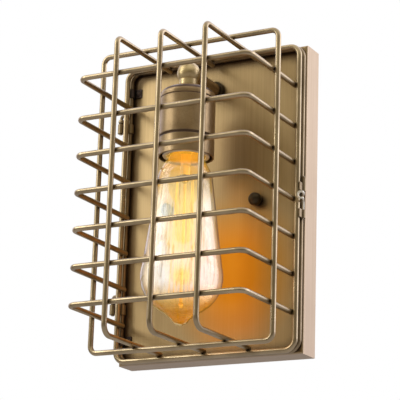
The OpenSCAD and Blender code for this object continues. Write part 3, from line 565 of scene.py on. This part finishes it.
class CAGELIGHT_OT_bulb(bpy.types.Operator):
    """Blow the bulb's glass and string its glowing filament cage"""
    bl_idname = "cagelight.bulb"
    bl_label = "Filament bulb"

    def execute(self, context):
        axis = middle("socket_cup")
        self.glass(axis)
        self.filament(axis)
        # Painted glow: the stem's weak emission stands in for the filament's light in its glass.
        stem = Finish("amber_stem_glass").set(Roughness=0.02, IOR=1.5, Transmission_Weight=1.0,
                                              Base_Color=srgb(250, 214, 140),
                                              Emission_Color=(0.5, 0.35, 0.06), Emission_Strength=0.3)
        stem.bump(stem.noise(160, 2), 0.00004, 0.2)
        paint(stem.material, "bulb_stem")
        wire = plain_finish("support_wire", srgb(150, 140, 125), metallic=1.0, roughness=0.3)
        paint(wire.material, "filament_supports")
        insulator = plain_finish("vitrite", srgb(20, 20, 24), roughness=0.2)
        paint(insulator.material, "bulb_cap_insulator")
        solder = plain_finish("solder", srgb(170, 170, 168), metallic=0.95, roughness=0.35, tooth=300)
        paint(solder.material, "bulb_contact")
        return {"FINISHED"}

    @classmethod
    def glass(cls, axis):
        wall = 0.0009
        low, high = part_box("bulb_glass")
        outside, inside = (cls.outline(inset, high.x - axis.x, low.z, high.z) for inset in (0, wall))
        mesh = lathe("bulb_glass_blown", outside + inside[::-1], (axis.x, axis.y))
        finish = cls.glass_finish(low.z, high.z)
        piece = add_piece("bulb_glass_blown", mesh, finish.material, "fixture")
        # The lit glass casts no shadow on the plate and isn't mirrored in the metal.
        piece.visible_shadow = piece.visible_glossy = False
        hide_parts("bulb_glass")

    @staticmethod
    def outline(inset, radius, low, high):
        """Profile of the glass at a depth under its outer face, from the neck down to the tip."""
        cup_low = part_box("socket_cup")[0].z
        neck_r, belly_r, tip_r = 0.0126, 0.033, 0.0085
        flare_r = radius - 0.011
        flare_top, flare_low = cup_low + 0.010, cup_low - 0.0215
        belly_x, belly_z = radius - belly_r, low + 0.0415
        cone_rise = 0.008
        belly_start, belly_end = math.asin(cone_rise / belly_r), math.radians(-66)
        tip_start, tip_end = math.radians(-24), math.radians(-90)
        flare_steps, belly_steps, tip_steps = 24, 32, 12
        points = [(neck_r - inset, high), (neck_r - inset, flare_top)]
        for i in range(1, flare_steps + 1):
            share = i / flare_steps
            opening = (flare_r - neck_r) * (1 - math.cos(math.pi * share)) / 2
            points.append((neck_r - inset + opening, flare_top - (flare_top - flare_low) * share))
        for i in range(belly_steps + 1):
            angle = belly_start + (belly_end - belly_start) * i / belly_steps
            points.append((belly_x + (belly_r - inset) * math.cos(angle),
                           belly_z + (belly_r - inset) * math.sin(angle)))
        for i in range(tip_steps + 1):
            angle = tip_start + (tip_end - tip_start) * i / tip_steps
            on_axis = i == tip_steps
            points.append((0 if on_axis else (tip_r - inset) * math.cos(angle),
                           low + tip_r + (tip_r - inset) * math.sin(angle)))
        return points

    @staticmethod
    def glass_finish(low, high):
        """Clear glass, amber at neck and tip, with a painted glow that stands in for the lit bulb's light.

        Its white body and golden column are painted light: they are laid on by the glass's angle to
        the viewer, so they turn with the view.
        """
        black = (0.0, 0.0, 0.0)
        finish = Finish("amber_bulb_glass").set(Roughness=0.0, IOR=1.45, Transmission_Weight=1.0,
                                                Specular_IOR_Level=0.3, Emission_Strength=1.0)
        facing = finish.node("ShaderNodeLayerWeight", Blend=0.5).outputs["Facing"]
        level = finish.height(low, high)

        tint = finish.ramp(facing, (0.0, tuple(chosen_colours().glass)), (0.58, srgb(250, 232, 178)),
                           (0.72, srgb(236, 196, 130)), (0.88, srgb(176, 124, 72)), (1.0, srgb(76, 48, 26)))
        deep = finish.ramp(level, (0.0, 1.0), (0.06, 0.95), (0.13, 0.6), (0.18, 0.05), (0.22, 0.0),
                           (0.8, 0.0), (0.86, 0.8))
        finish.colour(finish.mix(deep, tint, srgb(248, 206, 104)))

        facets = finish.node("ShaderNodeTexVoronoi", Scale=230)
        finish.link(finish.place, facets.inputs["Vector"])
        tip = finish.ramp(level, (0.0, 1.0), (0.045, 1.0), (0.08, 0.0))
        finish.bump(finish.noise(60, 2), 0.00006, 0.15)
        finish.bump(finish.mix(1.0, facets.outputs["Distance"], tip, "MULTIPLY"), 0.0006, 0.5)

        # Painted glow: the emission below lays on the white body, the golden column, streaks and a warm neck
        # and tip.
        body = finish.ramp(facing, (0.0, (0.18, 0.2, 0.19)), (0.05, (0.18, 0.21, 0.25)),
                           (0.42, (0.18, 0.22, 0.27)), (0.5, (0.15, 0.17, 0.18)), (0.58, (0.02, 0.015, 0.0)),
                           (0.75, black))
        lean = finish.ramp(level, (0.26, 0.0), (0.34, 0.03), (0.4, 0.09), (0.6, 0.1), (0.7, 0.24))
        sideways = finish.node("ShaderNodeMath", operation="SUBTRACT")
        finish.link(facing, sideways.inputs[0])
        finish.link(lean, sideways.inputs[1])
        column = finish.ramp(sideways.outputs[0], (0.0, 0.85), (0.008, 0.7), (0.026, 0.0))
        body = finish.mix(column, body, (0.19, 0.155, 0.05))
        bright = finish.ramp(level, (0.1, 0.0), (0.15, 0.5), (0.2, 1.0), (0.64, 1.0), (0.74, 0.45),
                             (0.81, 0.3), (0.85, 0.0))
        streaks = finish.ramp(finish.noise(1, 3, (420, 420, 14), 0.6), (0.34, 0.15), (0.4, 0.6), (0.46, 1.0))
        body = finish.mix(1.0, finish.mix(1.0, body, bright, "MULTIPLY"), streaks, "MULTIPLY")
        warmth = finish.ramp(level, (0.0, (0.06, 0.03, 0.0)), (0.1, (0.05, 0.03, 0.0)), (0.16, black),
                             (0.8, black), (0.86, (0.12, 0.075, 0.01)))
        finish.link(finish.mix(1.0, body, warmth, "ADD"), finish.shader.inputs["Emission Color"])
        return finish

    @classmethod
    def filament(cls, axis):
        sizes = chosen_sizes()
        path = cls.strands(axis, sizes.strand_turns, sizes.strand_radius)
        line = bpy.data.meshes.new("filament_path")
        line.from_pydata(path, [(k, k + 1) for k in range(len(path) - 1)], [])
        form = NodeForm("filament_strands")
        form.size("Strand radius")
        ins = form.node("NodeGroupInput")
        curve = form.node("GeometryNodeMeshToCurve")
        ring = form.node("GeometryNodeCurvePrimitiveCircle")
        ring.inputs["Resolution"].default_value = 8
        form.link(ins.outputs["Strand radius"], ring.inputs["Radius"])
        tube = form.node("GeometryNodeCurveToMesh")
        tube.inputs["Fill Caps"].default_value = True
        form.link(ins.outputs["Geometry"], curve.inputs[0])
        form.link(curve.outputs[0], tube.inputs["Curve"])
        form.link(ring.outputs[0], tube.inputs["Profile Curve"])
        glow = Finish("glowing_filament").set(Base_Color=(0.2, 0.08, 0.02), Emission_Strength=sizes.bulb_glow)
        warm = glow.ramp(glow.noise(300, 1), (0.3, 0.0), (0.7, 0.3))
        glow.link(glow.mix(warm, tuple(chosen_colours().glow), (0.75, 0.42, 0.04)),
                  glow.shader.inputs["Emission Color"])
        form.close(tube.outputs[0], glow.material)
        piece = form.build("filament_strands", line, {"Strand radius": sizes.strand_radius}, glow.material,
                           "fixture")
        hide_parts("filament")

    @staticmethod
    def strands(axis, count, thickness):
        """The filament's one wire, up and down between a small ring above and a wider one below."""
        low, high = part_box("filament")
        top_r, low_r = 0.0075, 0.0105
        quarter_step = 0.25
        path = []
        for i in range(count):
            up = i % 2 == 0
            angle = 2 * math.pi * (i + quarter_step) / count
            r = top_r if up else low_r
            path.append((axis.x + r * math.cos(angle), axis.y + r * math.sin(angle),
                         high.z - thickness if up else low.z + thickness))
        return path


class CAGELIGHT_OT_stage(bpy.types.Operator):
    """Set the camera, the pale floor, the soft lamps and the white surroundings"""
    bl_idname = "cagelight.stage"
    bl_label = "Studio"

    def execute(self, context):
        self.camera()
        self.floor()
        self.world()
        self.lamp("key_softbox", (-1.9, -1.5, 1.9), size=1.2, power=12)
        self.lamp("side_panel", (-0.59, -0.56, 0.28), size=0.4, power=1.25)
        self.lamp("back_softbox", (1.7, 1.3, 0.9), size=1.6, power=10)
        self.glow()
        context.scene.view_settings.view_transform = "Standard"
        return {"FINISHED"}

    @staticmethod
    def camera():
        picture_px, focal_px, sensor = 400, 1729, 36
        camera = bpy.data.cameras.new("camera")
        camera.sensor_width = sensor
        camera.lens = focal_px / picture_px * sensor
        camera.clip_start, camera.clip_end = 0.05, 50
        holder = bpy.data.objects.new("camera", camera)
        place = (0.69293, -1.30179, -0.41273)
        right, down, ahead = (Vector((0.87931, 0.47524, 0.03109)), Vector((-0.10515, 0.25738, -0.96057)),
                              Vector((-0.46450, 0.84137, 0.27629)))
        turn = Matrix((right, -down, -ahead)).transposed().to_4x4()
        holder.matrix_world = Matrix.Translation(place) @ turn
        bpy.context.scene.collection.objects.link(holder)
        bpy.context.scene.camera = holder

    @staticmethod
    def floor():
        half, height = 8, -1.6
        mesh = bpy.data.meshes.new("floor")
        mesh.from_pydata([(-half, -half, height), (half, -half, height), (half, half, height),
                          (-half, half, height)], [], [(0, 1, 2, 3)])
        floor = bpy.data.objects.new("floor", mesh)
        bpy.context.scene.collection.objects.link(floor)
        finish = Finish("pale_floor").set(Roughness=0.9, Emission_Strength=0.35)
        seen = finish.node("ShaderNodeLightPath").outputs["Is Camera Ray"]
        finish.colour(finish.mix(seen, (0.42, 0.41, 0.39), (0.92, 0.92, 0.91)))
        finish.link(seen, finish.shader.inputs["Emission Color"])
        mesh.materials.append(finish.material)

    @staticmethod
    def world():
        """White to the eye alone: metal and glass meet a pale side behind and a dimmer, warmer front."""
        world = bpy.data.worlds.new("studio")
        bpy.context.scene.world = world
        world.use_nodes = True
        tree = world.node_tree
        sky = tree.nodes["Background"]
        path = tree.nodes.new("ShaderNodeLightPath")
        direction = tree.nodes.new("ShaderNodeSeparateXYZ")
        tree.links.new(tree.nodes.new("ShaderNodeTexCoord").outputs["Generated"], direction.inputs[0])

        def band(value, low, high, *stops):
            """Colours laid over a value between low and high."""
            spread = tree.nodes.new("ShaderNodeMapRange")
            spread.inputs["From Min"].default_value = low
            spread.inputs["From Max"].default_value = high
            tree.links.new(value, spread.inputs["Value"])
            ramp = tree.nodes.new("ShaderNodeValToRGB")
            while len(ramp.color_ramp.elements) < len(stops):
                ramp.color_ramp.elements.new(0.5)
            for element, (place, colour) in zip(ramp.color_ramp.elements, stops):
                element.position = place
                element.color = (*colour, 1)
            tree.links.new(spread.outputs["Result"], ramp.inputs["Fac"])
            return ramp.outputs["Color"]

        def blend(share, first, second, how="MIX"):
            mix = tree.nodes.new("ShaderNodeMix")
            mix.data_type, mix.blend_type = "RGBA", how
            for value, socket in ((share, mix.inputs[0]), (first, mix.inputs[6]), (second, mix.inputs[7])):
                if isinstance(value, bpy.types.NodeSocket):
                    tree.links.new(value, socket)
                else:
                    socket.default_value = (*value, 1) if isinstance(value, tuple) else value
            return mix.outputs[2]

        up = direction.outputs["Z"]
        room = band(up, -1, 1, (0.0, (0.05, 0.045, 0.035)), (0.36, (0.12, 0.105, 0.08)),
                    (0.59, (0.22, 0.187, 0.125)), (0.7, (0.57, 0.53, 0.43)), (0.85, (0.8, 0.76, 0.68)))
        facing = tree.nodes.new("ShaderNodeVectorMath")
        facing.operation = "DOT_PRODUCT"
        viewers_side = (0.7, -0.66, -0.26)
        facing.inputs[1].default_value = viewers_side
        tree.links.new(direction.inputs[0].links[0].from_socket, facing.inputs[0])
        dim = band(facing.outputs["Value"], 0.55, 0.88, (0.0, (1.0, 1.0, 1.0)), (1.0, (0.5, 0.47, 0.42)))
        wall = band(up, -1, 1, (0.33, (0.14, 0.125, 0.11)), (0.45, (0.45, 0.42, 0.4)),
                    (0.58, (1.0, 0.98, 1.2)), (0.75, (1.12, 1.1, 1.32)))
        behind = band(direction.outputs["Y"], -1, 1, (0.46, (0.0, 0.0, 0.0)), (0.56, (1.0, 1.0, 1.0)))
        around = blend(behind, blend(1.0, room, dim, "MULTIPLY"), wall)
        tree.links.new(blend(path.outputs["Is Camera Ray"], around, (1.0, 1.0, 1.0)), sky.inputs["Color"])
        sky.inputs["Strength"].default_value = 1.0

    @staticmethod
    def lamp(name, place, size, power):
        """A square soft lamp, aimed at the middle of the light."""
        aim = Vector((0, -0.06, 0))
        data = bpy.data.lights.new(name, "AREA")
        data.size = size
        data.energy = power
        holder = bpy.data.objects.new(name, data)
        holder.location = place
        holder.rotation_euler = (aim - Vector(place)).to_track_quat("-Z", "Y").to_euler()
        bpy.context.scene.collection.objects.link(holder)

    @staticmethod
    def glow():
        """The bulb's own warm light: on the pan behind it, and up into the socket cup."""
        axis = middle("socket_cup")
        low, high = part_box("filament")
        data = bpy.data.lights.new("bulb_light", "AREA")
        data.shape = "RECTANGLE"
        data.size, data.size_y = 0.055, 0.11
        data.energy = 0.0125
        data.color = (1.0, 0.3, 0.0)
        holder = bpy.data.objects.new("bulb_light", data)
        holder.location = (axis.x - 0.006, axis.y - 0.004, (low.z * 2 + high.z) / 3)
        holder.rotation_euler = (math.radians(90), 0, 0)
        holder.visible_camera = holder.visible_transmission = False
        bpy.context.scene.collection.objects.link(holder)
        neck = bpy.data.lights.new("neck_light", "POINT")
        neck.shadow_soft_size = 0.006
        neck.energy = 0.03
        neck.color = (1.0, 0.78, 0.34)
        holder = bpy.data.objects.new("neck_light", neck)
        holder.location = (axis.x, axis.y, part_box("lampholder_body")[0].z - 0.004)
        holder.visible_camera = holder.visible_transmission = holder.visible_glossy = False
        bpy.context.scene.collection.objects.link(holder)


OPERATORS = (CAGELIGHT_OT_cage, CAGELIGHT_OT_pan, CAGELIGHT_OT_hinges, CAGELIGHT_OT_latch,
             CAGELIGHT_OT_arm_and_socket, CAGELIGHT_OT_fixings, CAGELIGHT_OT_bulb, CAGELIGHT_OT_stage)


class CAGELIGHT_PT_sidebar(bpy.types.Panel):
    """The wall light's pieces and settings"""
    bl_label = "Cage wall light"
    bl_idname = "CAGELIGHT_PT_sidebar"
    bl_space_type = "VIEW_3D"
    bl_region_type = "UI"
    bl_category = "Wall light"

    def draw(self, context):
        for group in (context.scene.cage_light_sizes, context.scene.cage_light_colours):
            for name in group.__annotations__:
                self.layout.prop(group, name)
        for operator in OPERATORS:
            self.layout.operator(operator.bl_idname)


CLASSES = (CageLightSizes, CageLightColours, *OPERATORS, CAGELIGHT_PT_sidebar)


def register():
    for item in CLASSES:
        bpy.utils.register_class(item)
    bpy.types.Scene.cage_light_sizes = bpy.props.PointerProperty(type=CageLightSizes)
    bpy.types.Scene.cage_light_colours = bpy.props.PointerProperty(type=CageLightColours)


def unregister():
    del bpy.types.Scene.cage_light_sizes, bpy.types.Scene.cage_light_colours
    for item in reversed(CLASSES):
        bpy.utils.unregister_class(item)


def main():
    register()
    bpy.ops.cagelight.stage()
    bpy.ops.cagelight.cage()
    bpy.ops.cagelight.pan()
    bpy.ops.cagelight.hinges()
    bpy.ops.cagelight.latch()
    bpy.ops.cagelight.arm_and_socket()
    bpy.ops.cagelight.fixings()
    bpy.ops.cagelight.bulb()


if __name__ == "__main__":
    main()
